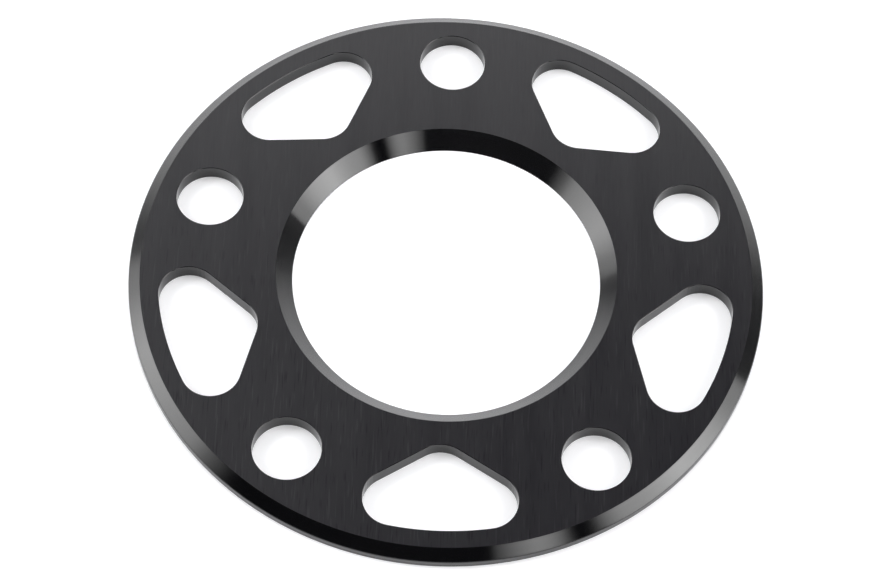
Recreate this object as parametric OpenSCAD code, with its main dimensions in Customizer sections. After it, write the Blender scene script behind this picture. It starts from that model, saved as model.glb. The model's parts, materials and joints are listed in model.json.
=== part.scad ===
// Wheel spacer: a flat ring clamped between a wheel hub and a wheel, to move the wheel outwards.
// It is one plate, turned at the rim and the bore, drilled for the wheel bolts and milled through
// with windows that save weight. Millimetres. The plain side is down, the chamfered side is up.

/* [Plate] */
// Outside diameter of the plate
outer_d = 150; // [144:1:180]
// Thickness of the plate, which is how far it moves the wheel
thickness = 4; // [3:0.5:10]
// Small break on the edges of the holes, the windows and the foot of the rim
edge_break = 0.1; // [0.1:0.05:0.5]

/* [Rim chamfer] */
// Width of the rim chamfer along the radius
rim_chamfer_w = 2.75; // [1:0.25:4]
// Depth of the rim chamfer along the axis, above the straight rim wall
rim_chamfer_h = 2; // [0.5:0.25:2.5]

/* [Hub bore] */
// Diameter of the bore, which slips over the hub's centring lip
bore_d = 73; // [56:0.1:80]
// Straight land left in the bore below its chamfer
bore_land = 0.2; // [0.2:0.1:2]
// Angle between the bore chamfer and the axis
bore_chamfer_angle = 45; // [30:1:55]

/* [Bolt holes] */
// Number of wheel bolts, with a window between each two
bolt_count = 5; // [3:1:6]
// Diameter of the circle through the bolt holes' centres
bolt_circle_d = 120; // [112:0.1:125]
// Diameter of a bolt hole
bolt_hole_d = 16; // [12:0.5:20]

/* [Windows] */
// Band of plate left between a window and the rim
rim_band = 7; // [4:0.1:12]
// Band of face left between a window and the bore chamfer
hub_band = 6; // [2:0.1:10]
// Radius of a window's three corners
window_corner_r = 7; // [3:0.5:10]
// Angle at the plate's axis from a window's middle to the centre of its outer corner
window_half_angle = 10.1; // [6:0.1:16]

/* [Hidden] */
$fn = 180;

black_anodise = [0.11, 0.11, 0.12];
// How far a cutter runs past each face of the plate
cut_past = 1;

outer_r = outer_d / 2;
bore_r = bore_d / 2;
bore_chamfer_h = thickness - bore_land;
bore_chamfer_w = bore_chamfer_h * tan(bore_chamfer_angle);

bolt_pitch_angle = 360 / bolt_count;
// The first bolt hole is on +Y, and the first window is half a pitch away
first_bolt_angle = 90;
first_window_angle = first_bolt_angle + bolt_pitch_angle / 2;

// The same point on the other side of +X
function mirrored_y(p) = [p.x, -p.y];

// A window about +X: an arc about the plate's axis, two straight flanks and three equal corners.
// The arc and the flanks lie a hair inside the corners' tangents, so that they cross the corners cleanly
tangent_inset = 0.001;
window_outer_r = outer_r - rim_band;
window_inner_r = bore_r + bore_chamfer_w + hub_band;
window_arc_r = window_outer_r - tangent_inset;
outer_corner_at_r = window_outer_r - window_corner_r;
outer_corner = outer_corner_at_r * [cos(window_half_angle), sin(window_half_angle)];
inner_corner = [window_inner_r + window_corner_r, 0];
window_corners = [inner_corner, outer_corner, mirrored_y(outer_corner)];
flank_run = outer_corner - inner_corner;
flank_length = norm(flank_run);
flank_angle = atan2(flank_run.y, flank_run.x);
flank_out = window_corner_r - tangent_inset;

// Section that breaks an edge of the lower face: x is measured outwards from the wall, y upwards
break_section = [
    [-edge_break, -edge_break],
    [2 * edge_break, -edge_break],
    [0, edge_break],
    [-edge_break, edge_break]
];

// Solid of revolution with the bore chamfer, the rim chamfer and the straight rim wall
module turned_ring() {
    rotate_extrude()
        polygon([
            [bore_r, 0],
            [outer_r - edge_break, 0],
            [outer_r, edge_break],
            [outer_r, thickness - rim_chamfer_h],
            [outer_r - rim_chamfer_w, thickness],
            [bore_r + bore_chamfer_w, thickness],
            [bore_r, bore_land]
        ]);
}

// Repeats a cut that is made for the lower face on the upper face too
module on_both_faces() {
    children();
    translate([0, 0, thickness])
        mirror([0, 0, 1])
            children();
}

// Repeats a cut round the axis, once for each bolt
module once_per_bolt(first_angle) {
    for (i = [0 : bolt_count - 1])
        rotate(first_angle + i * bolt_pitch_angle)
            children();
}

// Cone that breaks the lower edge of a round hole or corner
module round_break(r) {
    translate([0, 0, -edge_break])
        cylinder(h = 2 * edge_break, r1 = r + 2 * edge_break, r2 = r);
}

module bolt_hole() {
    translate([0, 0, -cut_past])
        cylinder(h = thickness + 2 * cut_past, d = bolt_hole_d);
    on_both_faces()
        round_break(bolt_hole_d / 2);
}

// Puts a shape on both flanks of a window: x runs from the inner to the outer corner, y outwards
module on_both_flanks() {
    for (side = [0, 1])
        mirror([0, side, 0])
            translate(inner_corner)
                rotate(flank_angle)
                    children();
}

module window_outline() {
    for (corner = window_corners)
        translate(corner)
            circle(r = window_corner_r);
    on_both_flanks()
        translate([0, -window_corner_r / 2])
            square([flank_length, window_corner_r / 2 + flank_out]);
    intersection() {
        circle(r = window_arc_r);
        polygon([
            inner_corner,
            outer_corner,
            outer_corner * outer_r / outer_corner_at_r,
            mirrored_y(outer_corner) * outer_r / outer_corner_at_r,
            mirrored_y(outer_corner)
        ]);
    }
}

// Break along the whole lower edge of a window: arc, corners and flanks
module window_break() {
    rotate_extrude(start = -window_half_angle, angle = 2 * window_half_angle)
        translate([window_arc_r, 0])
            polygon(break_section);
    for (corner = window_corners)
        translate(corner)
            round_break(window_corner_r);
    on_both_flanks()
        translate([0, flank_out, 0])
            rotate([90, 0, 90])
                linear_extrude(flank_length)
                    polygon(break_section);
}

module window() {
    translate([0, 0, -cut_past])
        linear_extrude(thickness + 2 * cut_past)
            window_outline();
    on_both_faces()
        window_break();
}

module spacer_plate() {
    color(black_anodise)
        difference() {
            turned_ring();
            once_per_bolt(first_bolt_angle)
                translate([bolt_circle_d / 2, 0, 0])
                    bolt_hole();
            once_per_bolt(first_window_angle)
                window();
        }
}

spacer_plate();
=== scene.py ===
import json

import bmesh
import bpy
import numpy as np
from mathutils import Matrix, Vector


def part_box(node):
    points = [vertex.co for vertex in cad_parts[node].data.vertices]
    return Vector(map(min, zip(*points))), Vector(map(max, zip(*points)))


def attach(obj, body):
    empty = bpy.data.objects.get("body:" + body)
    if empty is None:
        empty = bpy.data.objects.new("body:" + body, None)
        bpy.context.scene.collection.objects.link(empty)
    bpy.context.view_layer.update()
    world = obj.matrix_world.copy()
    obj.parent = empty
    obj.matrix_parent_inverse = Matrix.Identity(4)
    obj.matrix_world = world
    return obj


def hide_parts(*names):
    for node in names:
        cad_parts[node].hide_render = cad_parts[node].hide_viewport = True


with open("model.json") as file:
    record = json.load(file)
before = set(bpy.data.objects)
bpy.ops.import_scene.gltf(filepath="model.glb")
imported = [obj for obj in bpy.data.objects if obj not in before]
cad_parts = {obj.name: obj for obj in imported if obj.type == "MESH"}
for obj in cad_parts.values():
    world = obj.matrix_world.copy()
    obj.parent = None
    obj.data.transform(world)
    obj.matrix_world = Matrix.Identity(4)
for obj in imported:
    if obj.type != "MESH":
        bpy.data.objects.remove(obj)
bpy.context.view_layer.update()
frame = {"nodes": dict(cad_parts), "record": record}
mm = 0.001
print("frame loaded:", sorted(frame["nodes"]))


# Camera: the photo's view, as a point on the floor that the camera looks at
view = {
    "target": (-1.504 * mm, -4.068 * mm, 0.0),
    "distance": 682.88 * mm,
    "elevation": 59.289,     # degrees above the floor
    "turn": -1.146,          # degrees about Z, 0 looks along +Y
    "roll": -2.999,
    "focalPixels": 2888.6,   # focal length in pixels of a frame this wide
    "frameWidth": 879,
}


# Right and up are swung by the roll in the picture's plane.
# The camera stands back from its target along their cross product
def makeCamera(view):
    turn, lift, roll = np.radians([view["turn"], view["elevation"], view["roll"]])
    level = np.array([np.cos(turn), np.sin(turn), 0.0])
    away = np.array([-np.sin(turn), np.cos(turn), 0.0])
    rise = np.sin(lift) * away + np.array([0.0, 0.0, np.cos(lift)])
    right = np.cos(roll) * level - np.sin(roll) * rise
    up = np.sin(roll) * level + np.cos(roll) * rise
    back = np.cross(right, up)
    place = np.eye(4)
    place[:3, :3] = np.stack([right, up, back], axis=1)
    place[:3, 3] = np.array(view["target"]) + view["distance"] * back
    lens = bpy.data.cameras.new("photoView")
    lens.sensor_fit = "HORIZONTAL"
    lens.lens = lens.sensor_width * view["focalPixels"] / view["frameWidth"]
    camera = bpy.data.objects.new("photoView", lens)
    camera.matrix_world = Matrix(place.tolist())
    bpy.context.scene.collection.objects.link(camera)
    bpy.context.scene.camera = camera


makeCamera(view)
print("camera placed")


# Plate: one turned ring, drilled and milled through. Lengths in metres, angles in degrees
plate = {
    "rimChamferWide": 2.75 * mm,   # along the radius
    "rimChamferDeep": 2.0 * mm,    # along the axis
    "boreChamferAngle": 45.0,      # from the axis
    "edgeBreak": 0.1 * mm,         # on holes, windows and the rim's foot
    "ease": (0.04 * mm, 2),        # radius that deburring leaves on every machined edge, and its mesh steps
    "rimEase": (0.5 * mm, 4),      # the same below the rim chamfer, where the plate is handled
    "rimBand": 7.0 * mm,           # plate left between a window and the rim
    "hubBand": 6.0 * mm,           # face left between a window and the bore chamfer
    "windowCorner": 7.0 * mm,
    "windowHalfAngle": 10.1,       # from a window's middle to the centre of its outer corner
    "firstBoltAngle": 90.0,        # on +Y, and the first window is half a pitch further
    "lip": 0.25 * mm,              # strip of face that belongs to each edge's section
    "arcSteps": 64,                # mesh steps along a sector's arc
    "raySteps": 32,                # and along its straight sides
    "faceRows": 3,                 # and across a face
    "outlineSteps": 400,           # points in each arc of a hole's or window's outline, before it is read
    "sharpAngle": 6.0,             # steps round an arc turn less than this, and every eased edge turns more
    "weld": 0.0005 * mm,           # points closer than this become one
}
# Places of the finishes in the plate's list of materials
brushedFinish, turnedFinish, milledFinish = range(3)


# What the record says of a mount, in millimetres
def mountSizes(name):
    return next(mount["dims"] for mount in frame["record"]["mounts"] if mount["name"] == name)


# Unit vectors in the plate's plane
def heading(angles):
    return np.stack([np.cos(angles), np.sin(angles)], axis=-1)


# A corner between two legs becomes an arc tangent to both:
# P(a) = start + r sin(a) * leg + r (1 - cos(a)) * inward, for a from 0 to the corner's turn
def easeCorner(corner, legIn, legOut, radius, steps):
    turn = np.arctan2(legIn[0] * legOut[1] - legIn[1] * legOut[0], legIn @ legOut)
    inward = np.sign(turn) * np.array([-legIn[1], legIn[0]])
    start = corner - radius * np.tan(np.abs(turn) / 2) * legIn
    a = np.abs(turn) * np.linspace(0, 1, steps + 1)[:, None]
    return start + radius * (np.sin(a) * legIn + (1 - np.cos(a)) * inward)


# Each inner corner of a section is eased by its own radius, in its own steps
def easeSection(section, eases):
    legs = np.diff(section, axis=0)
    legs /= np.linalg.norm(legs, axis=1, keepdims=True)
    arcs = [easeCorner(*place, *ease) for *place, ease in zip(section[1:-1], legs[:-1], legs[1:], eases)]
    return np.concatenate([section[:1], *arcs, section[-1:]])


# A section carried along a path: S(i, j) = path(i) + out(j) * normal(i), at height up(j)
def carrySection(path, normals, section):
    flat = path[:, None] + section[None, :, 0, None] * normals[:, None]
    return np.dstack([flat, np.broadcast_to(section[:, 1], flat.shape[:2])])


# A flat patch between two loops: S(i, j) = (1 - t(j)) inner(i) + t(j) outer(i), at one height
def spanLoops(inner, outer, height, rows):
    t = np.linspace(0, 1, rows + 1)[None, :, None]
    flat = (1 - t) * inner[:, None] + t * outer[:, None]
    return np.dstack([flat, np.full(flat.shape[:2], height)])


# An outline made of arcs, each P(a) = centre + r * heading(a), with straight runs from one to the next
def arcOutline(arcs, steps):
    angles = np.concatenate([np.linspace(first, last, steps) for centre, radius, first, last in arcs])
    radii = np.repeat([radius for centre, radius, first, last in arcs], steps)
    centres = np.repeat([centre for centre, radius, first, last in arcs], steps, axis=0)
    normals = heading(angles)
    return centres + radii[:, None] * normals, normals


# Where rays from a middle to some targets cross an outline.
# Points and normals are read between the outline's own points, by their angle about the middle
def outlineAt(outline, middle, targets):
    points, normals = outline
    known, wanted = [np.arctan2(*(p - middle).T[::-1]) for p in (points, targets)]
    read = [np.interp(wanted, known, column, period=2 * np.pi) for column in np.hstack([points, normals]).T]
    path, across = np.stack(read[:2], axis=1), np.stack(read[2:], axis=1)
    return path, across / np.linalg.norm(across, axis=1, keepdims=True)


# The edge of one sector of the ring about +X, P(i) = radius(i) * heading(angle(i)):
# along the rim's arc, in on a ray, back along the hub's arc and out on a ray
def sectorLoop(inside, outside, half, sizes):
    swing = np.linspace(-half, half, sizes["arcSteps"], endpoint=False)
    slide = np.linspace(0, 1, sizes["raySteps"], endpoint=False)
    onArc, onRay = np.ones_like(swing), np.ones_like(slide)
    deep = outside - inside
    radius = [outside * onArc, outside - slide * deep, inside * onArc, inside + slide * deep]
    angle = [swing, half * onRay, -swing, -half * onRay]
    return np.concatenate(radius)[:, None] * heading(np.concatenate(angle))


# Points of the plate's plane turned about its axis: P = x * across + y * (across turned a quarter)
def turned(flat, angle):
    across = heading(angle)
    return flat @ np.array([across, [-across[1], across[0]]])


# Quads of a grid whose first direction closes on itself
def loopQuads(loopSteps, points):
    i, j = np.meshgrid(np.arange(loopSteps), np.arange(points - 1), indexing="ij")
    following = (i + 1) % loopSteps
    corners = [i * points + j, following * points + j, following * points + j + 1, i * points + j + 1]
    return np.stack(corners, axis=-1).reshape(-1, 4)


# All sheets become one closed mesh: points are merged where sheets meet, and every face then points outwards
def weldSheets(name, sheets, sizes):
    points, quads, finishes, first = [], [], [], 0
    for grid, rowFinish in sheets:
        points.append(grid.reshape(-1, 3))
        quads.append(loopQuads(*grid.shape[:2]) + first)
        finishes.append(np.tile(rowFinish, grid.shape[0]))
        first += grid.shape[0] * grid.shape[1]
    mesh = bpy.data.meshes.new(name)
    mesh.from_pydata(np.concatenate(points), [], np.concatenate(quads))
    mesh.polygons.foreach_set("material_index", np.concatenate(finishes).astype(np.int32))
    shell = bmesh.new()
    shell.from_mesh(mesh)
    bmesh.ops.remove_doubles(shell, verts=shell.verts, dist=sizes["weld"])
    bmesh.ops.recalc_face_normals(shell, faces=shell.faces)
    shell.to_mesh(mesh)
    shell.free()
    mesh.shade_smooth()
    mesh.set_sharp_from_angle(angle=np.radians(sizes["sharpAngle"]))
    piece = bpy.data.objects.new(name, mesh)
    bpy.context.scene.collection.objects.link(piece)
    return piece


def makePlate(sizes):
    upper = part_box("spacer_plate")[1]
    bore, bolts = mountSizes("hub_bore"), mountSizes("wheel_bolts")
    outerR, top = upper.x, upper.z
    boreR, land = bore["r_mm"] * mm, bore["length_mm"] * mm
    boltR, boltAtR, boltCount = bolts["hole_r_mm"] * mm, bolts["pcd_mm"] * mm / 2, bolts["count"]
    edge, lip, rows = sizes["edgeBreak"], sizes["lip"], sizes["faceRows"]
    fine, broad = sizes["ease"], sizes["rimEase"]
    chamferR = boreR + (top - land) * np.tan(np.radians(sizes["boreChamferAngle"]))
    rimR = outerR - sizes["rimChamferWide"]
    half = np.pi / (2 * boltCount)   # of a sector, which holds one bolt hole or one window

    # Sections run from the upper face to the lower one: along a lip, down the edge and back onto a lip
    rimSection = [(rimR - lip, top), (rimR, top), (outerR, top - sizes["rimChamferDeep"]), (outerR, edge),
                  (outerR - edge, 0), (outerR - edge - lip, 0)]
    boreSection = [(chamferR + lip, top), (chamferR, top), (boreR, land), (boreR, 0), (boreR + lip, 0)]
    holeSection = [(edge + lip, top), (edge, top), (0, top - edge), (0, edge), (edge, 0), (edge + lip, 0)]

    # A window about +X: an arc about the plate's axis and three corners, joined by straight flanks
    corner, swing = sizes["windowCorner"], np.radians(sizes["windowHalfAngle"])
    windowOuterR = outerR - sizes["rimBand"]
    outerCorner = (windowOuterR - corner) * heading(swing)
    innerCorner = np.array([chamferR + sizes["hubBand"] + corner, 0.0])
    flank = np.arctan2(*(outerCorner - innerCorner)[::-1]) + np.pi / 2
    windowArcs = [((0.0, 0.0), windowOuterR, -swing, swing), (outerCorner, corner, swing, flank),
                  (innerCorner, corner, flank, 2 * np.pi - flank),
                  (outerCorner * (1, -1), corner, 2 * np.pi - flank, 2 * np.pi - swing)]
    boltArcs = [((boltAtR, 0.0), boltR, 0.0, 2 * np.pi)]
    cuts = [(arcOutline(boltArcs, sizes["outlineSteps"]), np.array([boltAtR, 0.0])),
            (arcOutline(windowArcs, sizes["outlineSteps"]), (2 * outerCorner * (1, 0) + innerCorner) / 3)]

    # Height of each face, and the radii between which it is flat
    upperFace = (top, chamferR + lip, rimR - lip)
    lowerFace = (0.0, boreR + lip, outerR - edge - lip)

    def sectionSheet(path, normals, section, finish, eases):
        eased = easeSection(np.array(section, float), eases)
        rowFinish = np.full(len(eased) - 1, finish)
        rowFinish[[0, -1]] = brushedFinish
        return carrySection(path, normals, eased), rowFinish

    sheets = []
    firstAngle = np.radians(sizes["firstBoltAngle"])
    for sector in range(2 * boltCount):
        outline, middle = cuts[sector % 2]
        path, normals = outlineAt(outline, middle, sectorLoop(*upperFace[1:], half, sizes))
        at = firstAngle + sector * 2 * half
        path, normals = turned(path, at), turned(normals, at)
        sheets.append(sectionSheet(path, normals, holeSection, milledFinish, 4 * [fine]))
        for height, inside, outside in (upperFace, lowerFace):
            around = turned(sectorLoop(inside, outside, half, sizes), at)
            face = spanLoops(path + (edge + lip) * normals, around, height, rows)
            sheets.append((face, np.full(rows, brushedFinish)))
    roundSteps = 2 * boltCount * sizes["arcSteps"]
    circle = heading(firstAngle - half + np.arange(roundSteps) * 2 * np.pi / roundSteps)
    for section, eases in ((rimSection, [fine, broad, fine, fine]), (boreSection, 3 * [fine])):
        sheets.append(sectionSheet(np.zeros_like(circle), circle, section, turnedFinish, eases))
    return weldSheets("machined_plate", sheets, sizes)


machinedPlate = makePlate(plate)
print("plate made:", len(machinedPlate.data.polygons), "faces")


# Shader tools
def addNode(tree, kind, **settings):
    node = tree.nodes.new(kind)
    for name, value in settings.items():
        setattr(node, name, value)
    return node


# Values of some of a node's sockets, by name or number
def setInputs(node, values):
    for name, value in values.items():
        node.inputs[name].default_value = value
    return node


# A noise, with one of its levels brought to 0 and a higher one to 1
def readNoise(tree, vector, scale, octaves, low, high):
    noise = setInputs(addNode(tree, "ShaderNodeTexNoise"), {"Scale": scale, "Detail": octaves})
    spread = setInputs(addNode(tree, "ShaderNodeMapRange"), {"From Min": low, "From Max": high})
    tree.links.new(vector, noise.inputs["Vector"])
    tree.links.new(noise.outputs["Fac"], spread.inputs["Value"])
    return spread.outputs["Result"]


# Noise behind the marks that a tool leaves: scale, octaves, and the levels that become 0 and 1
markNoise = {
    "Marks": (1.0, 2.0, 0.3, 0.7),
    "Drift": (0.12, 2.0, 0.3, 0.7),
}


# X and Z of the vector run across the marks and Y along them, one unit to a mark.
# Marks is the fine pattern and Drift the slow change from one bundle of marks to the next
def makeToolMarks(noises):
    group = bpy.data.node_groups.new("toolMarks", "ShaderNodeTree")
    group.interface.new_socket("Vector", in_out="INPUT", socket_type="NodeSocketVector")
    for name in noises:
        group.interface.new_socket(name, in_out="OUTPUT", socket_type="NodeSocketFloat")
    given, made = addNode(group, "NodeGroupInput"), addNode(group, "NodeGroupOutput")
    for name, noise in noises.items():
        group.links.new(readNoise(group, given.outputs["Vector"], *noise), made.inputs[name])
    return group


toolMarks = makeToolMarks(markNoise)


# Straight marks: the object's own coordinates, stretched along the marks
def straightMarks(tree, look):
    place = addNode(tree, "ShaderNodeTexCoord")
    stretch = setInputs(addNode(tree, "ShaderNodeMapping"), {"Scale": look["marksPerMetre"]})
    tree.links.new(place.outputs["Object"], stretch.inputs["Vector"])
    return stretch.outputs["Vector"]


# Rings about the axis: read by radius and height alone
def ringMarks(tree, look):
    place = addNode(tree, "ShaderNodeTexCoord")
    split = addNode(tree, "ShaderNodeSeparateXYZ")
    flat = addNode(tree, "ShaderNodeVectorMath", operation="MULTIPLY")
    flat.inputs[1].default_value = (1.0, 1.0, 0.0)
    radius = addNode(tree, "ShaderNodeVectorMath", operation="LENGTH")
    rings = addNode(tree, "ShaderNodeCombineXYZ")
    stretch = setInputs(addNode(tree, "ShaderNodeMapping"), {"Scale": look["marksPerMetre"]})
    tree.links.new(place.outputs["Object"], split.inputs["Vector"])
    tree.links.new(place.outputs["Object"], flat.inputs[0])
    tree.links.new(flat.outputs["Vector"], radius.inputs[0])
    tree.links.new(radius.outputs["Value"], rings.inputs["X"])
    tree.links.new(split.outputs["Z"], rings.inputs["Z"])
    tree.links.new(rings.outputs["Vector"], stretch.inputs["Vector"])
    return stretch.outputs["Vector"]


# Rare peaks of a noise, light scratches, 1, less those found elsewhere in it, dark ones, -1
def makeScratches(tree, vector, look):
    aside = addNode(tree, "ShaderNodeVectorMath", operation="ADD")
    aside.inputs[1].default_value = look["darkAside"]
    pair = addNode(tree, "ShaderNodeMath", operation="SUBTRACT")
    tree.links.new(vector, aside.inputs[0])
    tree.links.new(readNoise(tree, vector, *look["scratches"]), pair.inputs[0])
    tree.links.new(readNoise(tree, aside.outputs["Vector"], *look["scratches"]), pair.inputs[1])
    return pair.outputs["Value"]


# How much scratches show: worn at the plate's near side and fresh at its far side
def makeWear(tree, look):
    place = addNode(tree, "ShaderNodeTexCoord")
    split = addNode(tree, "ShaderNodeSeparateXYZ")
    wear = addNode(tree, "ShaderNodeMapRange")
    setInputs(wear, dict(zip(("From Min", "From Max"), look["wornAt"])))
    setInputs(wear, dict(zip(("To Min", "To Max"), look["worn"])))
    tree.links.new(place.outputs["Object"], split.inputs["Vector"])
    tree.links.new(split.outputs["Y"], wear.inputs["Value"])
    return wear.outputs["Result"]


# Black anodise over one kind of tool mark: the marks tint and dent it, the slow drift changes its gloss, and
# scratches reflect more or less. Reflections smear across the marks, so the gloss is stretched that way
def makeFinish(name, look, readMarks):
    material = bpy.data.materials.new(name)
    material.use_nodes = True
    tree = material.node_tree
    shader = tree.nodes["Principled BSDF"]
    marks = addNode(tree, "ShaderNodeGroup", node_tree=toolMarks)
    tint = addNode(tree, "ShaderNodeMix", data_type="RGBA")   # its colours are inputs 6 and 7 and output 2
    tint.inputs[6].default_value = (*look["dark"], 1.0)
    tint.inputs[7].default_value = (*look["light"], 1.0)
    lowTint, highTint = look["marksTint"]
    shade = setInputs(addNode(tree, "ShaderNodeMapRange"), {"To Min": lowTint, "To Max": highTint})
    dull, dullest = look["roughness"]
    gloss = setInputs(addNode(tree, "ShaderNodeMapRange"), {"To Min": dull, "To Max": dullest})
    bump = addNode(tree, "ShaderNodeBump")
    setInputs(bump, {"Strength": look["strength"], "Distance": look["depth"]})
    lay = addNode(tree, "ShaderNodeTangent", direction_type="RADIAL", axis=look["layAxis"])
    setInputs(shader, {"IOR": look["ior"]})
    setInputs(shader, {"Anisotropic": look["smear"], "Anisotropic Rotation": look["smearTurn"]})
    vector = readMarks(tree, look)
    tree.links.new(vector, marks.inputs["Vector"])
    tree.links.new(marks.outputs["Marks"], shade.inputs["Value"])
    tree.links.new(shade.outputs["Result"], tint.inputs[0])
    if "scratches" in look:
        sheen = addNode(tree, "ShaderNodeMath", operation="MULTIPLY_ADD")
        sheen.inputs[2].default_value = shader.inputs["Specular IOR Level"].default_value
        tree.links.new(makeScratches(tree, vector, look), sheen.inputs[0])
        tree.links.new(makeWear(tree, look), sheen.inputs[1])
        tree.links.new(sheen.outputs["Value"], shader.inputs["Specular IOR Level"])
    tree.links.new(marks.outputs["Drift"], gloss.inputs["Value"])
    tree.links.new(marks.outputs["Marks"], bump.inputs["Height"])
    tree.links.new(tint.outputs[2], shader.inputs["Base Color"])
    tree.links.new(gloss.outputs["Result"], shader.inputs["Roughness"])
    tree.links.new(bump.outputs["Normal"], shader.inputs["Normal"])
    tree.links.new(lay.outputs["Tangent"], shader.inputs["Tangent"])
    return material


# Faces brushed along Y
brushed = {
    "marksPerMetre": (2200.0, 120.0, 2200.0),   # across, along, across
    "ior": 1.65,
    "dark": (0.0021, 0.0016, 0.0037),
    "light": (0.0116, 0.0111, 0.0137),
    "marksTint": (0.22, 0.6),                   # from dark to light
    "scratches": (1.3, 0.0, 0.66, 0.78),        # noise, as for the marks
    "darkAside": (37.3, 11.7, 5.1),             # step to the place in the noise that gives the dark ones
    "worn": (0.14, 0.03),                       # how far scratches change the sheen, near and far
    "wornAt": (-30 * mm, 30 * mm),              # near and far, along Y
    "roughness": (0.30, 0.36),
    "depth": 0.003 * mm,                        # of the marks
    "strength": 0.1,
    "layAxis": "Y",
    "smear": 0.6,                               # how much longer reflections are across the marks
    "smearTurn": 0.0,                           # in turns
}

# Rim and bore turned on a lathe
turnedLook = {
    "marksPerMetre": (9000.0, 9000.0, 9000.0),
    "ior": 1.65,
    "dark": (0.0004, 0.0004, 0.0008),
    "light": (0.0010, 0.0010, 0.0016),
    "marksTint": (0.0, 1.0),
    "roughness": (0.14, 0.17),
    "depth": 0.0004 * mm,
    "strength": 0.1,
    "layAxis": "Z",
    "smear": 1.0,
    "smearTurn": 0.25,
}

# Walls of the holes and windows, with the cutter's level feed lines
milled = {
    "marksPerMetre": (400.0, 400.0, 6000.0),
    "ior": 1.5,
    "dark": (0.0005, 0.0005, 0.0012),
    "light": (0.0015, 0.0015, 0.0024),
    "marksTint": (0.0, 1.0),
    "roughness": (0.08, 0.12),
    "depth": 0.001 * mm,
    "strength": 0.15,
    "layAxis": "Z",
    "smear": 0.0,
    "smearTurn": 0.0,
}

machinedPlate.data.materials.append(makeFinish("brushedAnodise", brushed, straightMarks))
machinedPlate.data.materials.append(makeFinish("turnedAnodise", turnedLook, ringMarks))
machinedPlate.data.materials.append(makeFinish("milledAnodise", milled, straightMarks))
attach(machinedPlate, "root")
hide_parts("spacer_plate")
print("finishes set")


# Floor: white card that keeps the plate's shadow and shows white to the camera and in reflections
# Its glow is weaker under and close to the plate: painted shade around the plate, on top of the shadow that
# the lamps cast
floorLook = {
    "size": 6.0,                      # metres along a side
    "colour": (0.82, 0.82, 0.84, 1.0),
    "drop": 0.02 * mm,                # below the plate, so that no two faces share a plane
    "shadedGlowNear": 0.255,               # glow added under and close to the plate, kept low there as painted shade
    "glowFar": 0.54,                 # and beyond it, higher, where no shade is painted
    "spread": (75.5 * mm, 85 * mm),   # radii between which the painted shade gives way to the far glow
}


# One for rays from the camera, from gloss and through glass, and none for the light that falls on the part
def seenDirectly(tree):
    rays = addNode(tree, "ShaderNodeLightPath")
    seen = rays.outputs["Is Camera Ray"]
    for name in ("Is Glossy Ray", "Is Transmission Ray"):
        either = addNode(tree, "ShaderNodeMath", operation="MAXIMUM")
        tree.links.new(seen, either.inputs[0])
        tree.links.new(rays.outputs[name], either.inputs[1])
        seen = either.outputs["Value"]
    return seen


def makeFloor(look):
    half, drop = look["size"] / 2, -look["drop"]
    corners = np.array([(-half, -half, drop), (half, -half, drop), (half, half, drop), (-half, half, drop)])
    mesh = bpy.data.meshes.new("floor")
    mesh.from_pydata(corners, [], [(0, 1, 2, 3)])
    floor = bpy.data.objects.new("floor", mesh)
    bpy.context.scene.collection.objects.link(floor)
    material = bpy.data.materials.new("floorCard")
    material.use_nodes = True
    tree = material.node_tree
    tree.nodes.clear()
    place = addNode(tree, "ShaderNodeTexCoord")
    radius = addNode(tree, "ShaderNodeVectorMath", operation="LENGTH")
    # Glow by radius: low near the plate as painted shade, rising to the far glow
    white = addNode(tree, "ShaderNodeMapRange", interpolation_type="SMOOTHSTEP")
    setInputs(white, dict(zip(("From Min", "From Max"), look["spread"])))
    setInputs(white, {"To Min": look["shadedGlowNear"], "To Max": look["glowFar"]})
    strength = addNode(tree, "ShaderNodeMath", operation="MULTIPLY")
    card = setInputs(addNode(tree, "ShaderNodeBsdfDiffuse"), {"Color": look["colour"]})
    glow = addNode(tree, "ShaderNodeEmission")
    both = addNode(tree, "ShaderNodeAddShader")
    out = addNode(tree, "ShaderNodeOutputMaterial")
    tree.links.new(place.outputs["Object"], radius.inputs[0])
    tree.links.new(radius.outputs["Value"], white.inputs["Value"])
    tree.links.new(white.outputs["Result"], strength.inputs[0])
    tree.links.new(seenDirectly(tree), strength.inputs[1])
    tree.links.new(strength.outputs["Value"], glow.inputs["Strength"])
    tree.links.new(card.outputs["BSDF"], both.inputs[0])
    tree.links.new(glow.outputs["Emission"], both.inputs[1])
    tree.links.new(both.outputs["Shader"], out.inputs["Surface"])
    mesh.materials.append(material)


makeFloor(floorLook)
print("floor laid")


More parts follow.
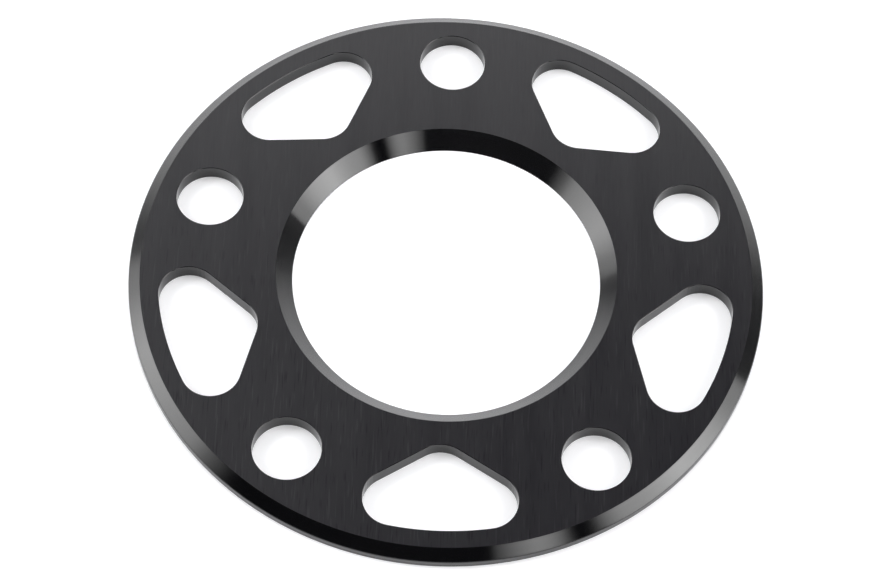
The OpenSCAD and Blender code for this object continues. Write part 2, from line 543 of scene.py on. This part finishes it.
# Studio: soft boxes and cards that stand upright between two points on the ground, right and left as the
# plate sees them, in metres. The radiance across each is a list of stops, from its right end to its left end
standing = {
    "leftBox": {
        "right": (-1.098, 0.797), "left": (-0.545, -0.29), "low": 0.02, "high": 0.60,
        "radiance": [(0.0, 0.2), (0.1, 0.4), (0.17, 0.68), (0.22, 1.6), (0.26, 2.1), (0.39, 2.6),
                     (0.55, 4.5), (0.62, 5.1), (0.73, 4.6), (0.88, 3.3), (0.93, 1.3), (1.0, 0.0)],
    },
    "rightBox": {
        "right": (0.534, -0.504), "left": (1.335, 0.207), "low": 0.02, "high": 0.80,
        "radiance": [(0.0, 0.9), (0.09, 4.1), (0.16, 4.4), (0.26, 5.6), (0.35, 7.1), (0.57, 5.5),
                     (0.71, 3.8), (0.79, 3.0), (1.0, 3.05)],
    },
    "frontCard": {
        "right": (0.14, -0.475), "left": (0.345, -0.43), "low": 0.22, "high": 0.60,
        "radiance": [(0.0, 0.5), (0.25, 2.2), (0.52, 3.7), (0.68, 3.5), (0.83, 2.4), (1.0, 0.4)],
    },
    "frontWall": {
        "right": (-0.85, -0.5), "left": (0.29, -0.95), "low": 0.0, "high": 0.53,
        "radiance": [(0.0, 0.09), (1.0, 0.09)],
    },
    "sideCard": {
        "right": (1.38, 0.243), "left": (1.21, 0.70), "low": 0.0, "high": 0.50,
        "radiance": [(0.0, 0.3), (0.35, 0.1), (1.0, 0.1)],
    },
    "backWall": {
        "right": (2.63, 1.4), "left": (-1.93, 1.4), "low": 0.0, "high": 0.60,
        "radiance": [(0.0, 0.1), (0.07, 0.2), (0.28, 1.33), (0.34, 1.5), (0.6, 1.5), (0.7, 1.65),
                     (0.8, 1.6), (0.92, 0.55), (1.0, 0.2)],
    },
}
# Boxes that hang and face the plate. Three of them light the floor and leave no reflection
hanging = {
    "topBox": {
        "centre": (-0.022, 0.621, 0.580), "size": (0.8, 0.27), "inGloss": True,
        "radiance": [(0.0, 6.8), (0.25, 1.2), (0.5, 0.65), (0.75, 2.2), (1.0, 5.9)],
    },
    "topLeftBox": {
        "centre": (-0.192, 0.394, 0.729), "size": (0.3, 0.21), "inGloss": True,
        "radiance": [(0.0, 0.0), (0.5, 0.0), (1.0, 4.5)],
    },
    "overhead": {
        "centre": (0.0, 0.09, 1.0), "size": (0.4, 0.7), "inGloss": False,
        "radiance": [(0.0, 3.5), (1.0, 3.5)],
    },
    "leftFill": {
        "centre": (-0.68, 0.13, 0.62), "size": (0.35, 0.35), "inGloss": False,
        "radiance": [(0.0, 8.4), (1.0, 8.4)],
    },
    "rightFill": {
        "centre": (0.68, 0.13, 0.62), "size": (0.35, 0.35), "inGloss": False,
        "radiance": [(0.0, 5.1), (1.0, 5.1)],
    },
}


# A ramp of greys
def addRamp(tree, stops):
    ramp = addNode(tree, "ShaderNodeValToRGB")
    elements = ramp.color_ramp.elements
    while len(elements) < len(stops):
        elements.new(0.5)
    for element, (stop, value) in zip(elements, stops):
        element.position = stop
        element.color = (value, value, value, 1.0)
    return ramp


# A lamp shines against its own Z. A ramp along its own X gives the radiance, as shares of the highest stop
def addLamp(name, width, height, radiance, across, up, centre):
    peak = max(value for stop, value in radiance)
    lamp = bpy.data.lights.new(name, "AREA")
    lamp.shape = "RECTANGLE"
    lamp.size, lamp.size_y = width, height
    lamp.energy = peak * np.pi * width * height
    lamp.use_nodes = True
    tree = lamp.node_tree
    place = addNode(tree, "ShaderNodeNewGeometry")
    split = addNode(tree, "ShaderNodeSeparateXYZ")
    ramp = addRamp(tree, [(stop, value / peak) for stop, value in radiance])
    tree.links.new(place.outputs["Parametric"], split.inputs["Vector"])
    tree.links.new(split.outputs["X"], ramp.inputs["Fac"])
    tree.links.new(ramp.outputs["Color"], tree.nodes["Emission"].inputs["Color"])
    axes = np.eye(4)
    axes[:3, :3] = np.stack([across, up, np.cross(across, up)], axis=1)
    axes[:3, 3] = centre
    box = bpy.data.objects.new(name, lamp)
    box.matrix_world = Matrix(axes.tolist())
    box.visible_camera = False
    bpy.context.scene.collection.objects.link(box)
    return box


def standBox(name, box):
    right, left = np.array(box["right"]), np.array(box["left"])
    width = np.linalg.norm(left - right)
    across = np.array([*(left - right) / width, 0.0])
    centre = np.array([*(right + left) / 2, (box["low"] + box["high"]) / 2])
    upright = np.array([0.0, 0.0, 1.0])
    addLamp(name, width, box["high"] - box["low"], box["radiance"], across, upright, centre)


def hangBox(name, box):
    centre = np.array(box["centre"])
    away = centre / np.linalg.norm(centre)
    across = np.array([-away[1], away[0], 0.0]) / np.hypot(away[0], away[1])
    lamp = addLamp(name, *box["size"], box["radiance"], across, np.cross(away, across), centre)
    lamp.visible_glossy = box["inGloss"]


for name, box in standing.items():
    standBox(name, box)
for name, box in hanging.items():
    hangBox(name, box)


# Room: dim for the light and for reflections, and white for the camera.
# The stops give the radiance by the share of Y in a direction, from the front, 0, to the back, 1
room = [(0.08, 0.06), (0.14, 0.02), (0.3, 0.005), (0.45, 0.03), (0.6, 0.06), (1.0, 0.07)]


def makeRoom(stops):
    world = bpy.data.worlds.new("studioRoom")
    world.use_nodes = True
    tree = world.node_tree
    tree.nodes.clear()
    place = addNode(tree, "ShaderNodeTexCoord")
    split = addNode(tree, "ShaderNodeSeparateXYZ")
    share = setInputs(addNode(tree, "ShaderNodeMapRange"), {"From Min": -1.0})
    shade = addRamp(tree, stops)
    rays = addNode(tree, "ShaderNodeLightPath")
    dim, white = addNode(tree, "ShaderNodeBackground"), addNode(tree, "ShaderNodeBackground")
    white.inputs["Color"].default_value = (1.0, 1.0, 1.0, 1.0)
    choose = addNode(tree, "ShaderNodeMixShader")
    out = addNode(tree, "ShaderNodeOutputWorld")
    tree.links.new(place.outputs["Generated"], split.inputs["Vector"])
    tree.links.new(split.outputs["Y"], share.inputs["Value"])
    tree.links.new(share.outputs["Result"], shade.inputs["Fac"])
    tree.links.new(shade.outputs["Color"], dim.inputs["Color"])
    tree.links.new(rays.outputs["Is Camera Ray"], choose.inputs["Fac"])
    tree.links.new(dim.outputs["Background"], choose.inputs[1])
    tree.links.new(white.outputs["Background"], choose.inputs[2])
    tree.links.new(choose.outputs["Shader"], out.inputs["Surface"])
    bpy.context.scene.world = world


makeRoom(room)
bpy.context.scene.view_settings.view_transform = "Standard"
print("studio lit")
